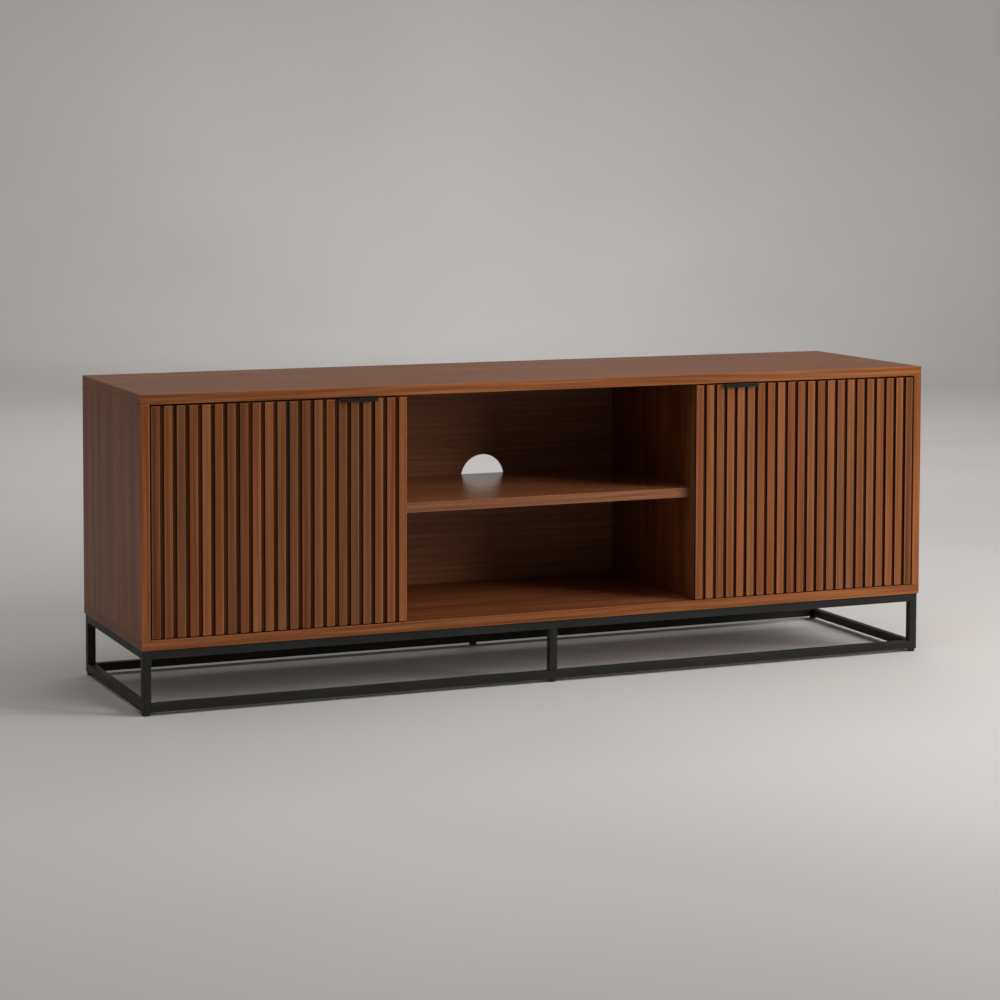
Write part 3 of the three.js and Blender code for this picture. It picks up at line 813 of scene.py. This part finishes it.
def make_tube(node):
    """A length of square tube with rounded corners, open at both ends."""
    low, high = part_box(node)
    middle, size = middle_and_size(low, high)
    axis = max(range(3), key=lambda i: size[i])
    sides = [(axis + 1) % 3, (axis + 2) % 3]
    half = size[sides[0]] / 2
    outer = rounded_square(half, TUBE_ROUND)
    inner = rounded_square(half - TUBE_WALL, TUBE_INNER_ROUND)

    def ring(outline, along):
        points = []
        for a, b in outline:
            point = middle.copy()
            point[axis] = along
            point[sides[0]] += a
            point[sides[1]] += b
            points.append(point)
        return points

    build = Build()
    build.rings([
        ring(outer, low[axis]), ring(outer, high[axis]),
        ring(inner, high[axis]), ring(inner, low[axis]),
    ], loop=True)
    finish_piece(f"{node}_tube", build, BLACK_STEEL, "cabinet", "black_steel", node)


def make_base():
    """All tubes of the base frame, and a glide under each leg."""
    for node in sorted(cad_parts):
        if "rail" in node or node.startswith("leg_"):
            make_tube(node)
        if node.startswith("foot_"):
            make_foot(node)


def make_foot(node):
    """A round glide with a soft edge and a narrow waist under the tube."""
    low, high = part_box(node)
    middle, size = middle_and_size(low, high)
    r, tall = size.x / 2, size.z
    profile = [
        (r * 0.55, 0), (r * 0.86, 0.15 * MM), (r * 0.97, 0.7 * MM), (r, 1.5 * MM),
        (r, tall * 0.62), (r * 0.96, tall * 0.68), (r * 0.96, tall),
    ]
    build = Build()
    build.turned(profile, Matrix.Translation((middle.x, middle.y, low.z)), 40)
    finish_piece(f"{node}_glide", build, BLACK_PLASTIC, "cabinet", "black_plastic", node)


def make_shelf_pin(side, spot, row, inward):
    """A turned pin with a collar and rounded ends, lying along X."""
    node = f"shelf_pin_{side}_{spot}_{row}"
    middle, size = middle_and_size(*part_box(node))
    half, collar_r = size.x / 2, size.z / 2
    r, lip = SHELF_PIN_R, SHELF_PIN_LIP
    start, end = COLLAR_SPAN
    profile = [
        (r - lip, -half), (r, -half + lip), (r, start),
        (collar_r - COLLAR_LIP, start), (collar_r, start + COLLAR_LIP),
        (collar_r, end - COLLAR_LIP), (collar_r - COLLAR_LIP, end),
        (r, end), (r, half - lip), (r - lip, half),
    ]
    turn = Matrix.Rotation(inward * math.pi / 2, 4, "Y")
    build = Build()
    build.turned(profile, Matrix.Translation(middle) @ turn, 24)
    finish_piece(f"pin_{side}_{spot}_{row}", build, PLAIN_STEEL, "cabinet", "plain_steel", node)


# ---------------------------------------------------------------- stage, lights, camera
def make_stage():
    """A pale floor that curves up into a round wall, so that every view has the same ground."""
    centre_r, inner_r, floor_r, bend_r, wall_top, steps = MM, 2.5, 6.6, 3.4, 9.0, 16
    profile = [(centre_r, 0), (inner_r, 0), (floor_r, 0)]
    for k in range(1, steps + 1):
        t = math.radians(90 * k / steps)
        profile.append((floor_r + bend_r * math.sin(t), bend_r * (1 - math.cos(t))))
    profile.append((floor_r + bend_r, wall_top))
    build = Build()
    build.turned(profile, Matrix.Identity(4), 128, caps=(True, False))
    mesh = build.to_mesh("studio_floor")
    mesh.shade_smooth()
    material, tree, surface = shader("studio_grey")
    place = add(tree, "TexCoord").outputs["Object"]
    cloud = noise(tree, place, (1, 1, 1), 0.8, 2.0)
    base = ramp(tree, cloud, [(0.3, (0.560, 0.545, 0.530)), (0.7, (0.600, 0.585, 0.568))])
    tree.links.new(base, surface.inputs["Base Color"])
    surface.inputs["Roughness"].default_value = 0.85
    surface.inputs["Specular IOR Level"].default_value = 0.2
    show("studio_floor", mesh, material)


def soft_light(name, at, target, size, power, spread=180):
    """A rectangular lamp aimed at a point, hidden from the camera and from glossy reflections."""
    data = bpy.data.lights.new(name, "AREA")
    data.shape, data.size, data.size_y = "RECTANGLE", *size
    data.energy, data.spread = power, math.radians(spread)
    lamp = bpy.data.objects.new(name, data)
    lamp.location = at
    lamp.rotation_euler = (Vector(target) - Vector(at)).to_track_quat("-Z", "Y").to_euler()
    lamp.visible_camera = False
    lamp.visible_glossy = False
    bpy.context.scene.collection.objects.link(lamp)


def make_lights():
    """A large key from the front right, weak fills, and washes over the floor and the wall."""
    soft_light("key", (2.65, -2.4, 1.5), (0, 0, 0.3), (1.4, 2.3), 65, 120)
    soft_light("side", (3.2, -0.5, 1.5), (0, 0, 0.2), (1.2, 1.2), 16)
    soft_light("top", (-0.4, -1.1, 3.8), (-0.4, -1.1, 0), (3.0, 1.8), 17)
    soft_light("floor_wash", (1.5, 2.9, 3.4), (2.0, 4.4, 0), (3.2, 2.0), 70)
    soft_light("front_wash", (-0.5, -0.95, 2.6), (-0.5, -0.95, 0), (2.2, 0.4), 0.6, 50)
    soft_light("wall_wash", (2.4, 5.6, 2.2), (3.7, 9.6, 1.6), (1.2, 0.9), 34)
    world = bpy.data.worlds.new("studio")
    bpy.context.scene.world = world
    world.use_nodes = True
    sky = world.node_tree.nodes["Background"]
    sky.inputs["Color"].default_value = (1.0, 0.985, 0.97, 1)
    sky.inputs["Strength"].default_value = 0.44


def make_camera():
    """The camera, from its place, its three turns, its lens and its vertical shift."""
    yaw, pitch, roll = CAMERA_YAW, CAMERA_PITCH, CAMERA_ROLL
    flat = Vector((math.sin(yaw), math.cos(yaw), 0))
    forward = math.cos(pitch) * flat - Vector((0, 0, math.sin(pitch)))
    level = Vector((math.cos(yaw), -math.sin(yaw), 0))
    above = level.cross(forward)
    right = math.cos(roll) * level + math.sin(roll) * above
    up = -math.sin(roll) * level + math.cos(roll) * above
    camera = bpy.data.objects.new("camera", bpy.data.cameras.new("camera"))
    axes = Matrix((right, up, -forward)).transposed()
    camera.matrix_world = Matrix.Translation(CAMERA_AT) @ axes.to_4x4()
    camera.data.sensor_width = 36
    camera.data.lens = CAMERA_LENS
    camera.data.shift_y = CAMERA_SHIFT
    camera.data.clip_end = 60
    bpy.context.scene.collection.objects.link(camera)
    bpy.context.scene.camera = camera


make_boards()
make_back()
for door_side, _ in HANDS:
    make_slats(door_side)
    make_door_board(door_side)
    make_handle(door_side)
    for door_level, direction in (("top", 1), ("bottom", -1)):
        make_pivot(door_side, door_level, direction)
        make_bush(door_side, door_level, direction)
    make_catch(door_side)
make_base()
for door_side, hand in HANDS:
    for spot, inward in (("outer", -hand), ("inner", hand)):
        for pin_row in ROWS:
            make_shelf_pin(door_side, spot, pin_row, inward)
make_back_screws()
make_pull_screws()
make_stage()
make_lights()
make_camera()
bpy.context.scene.view_settings.view_transform = "Standard"
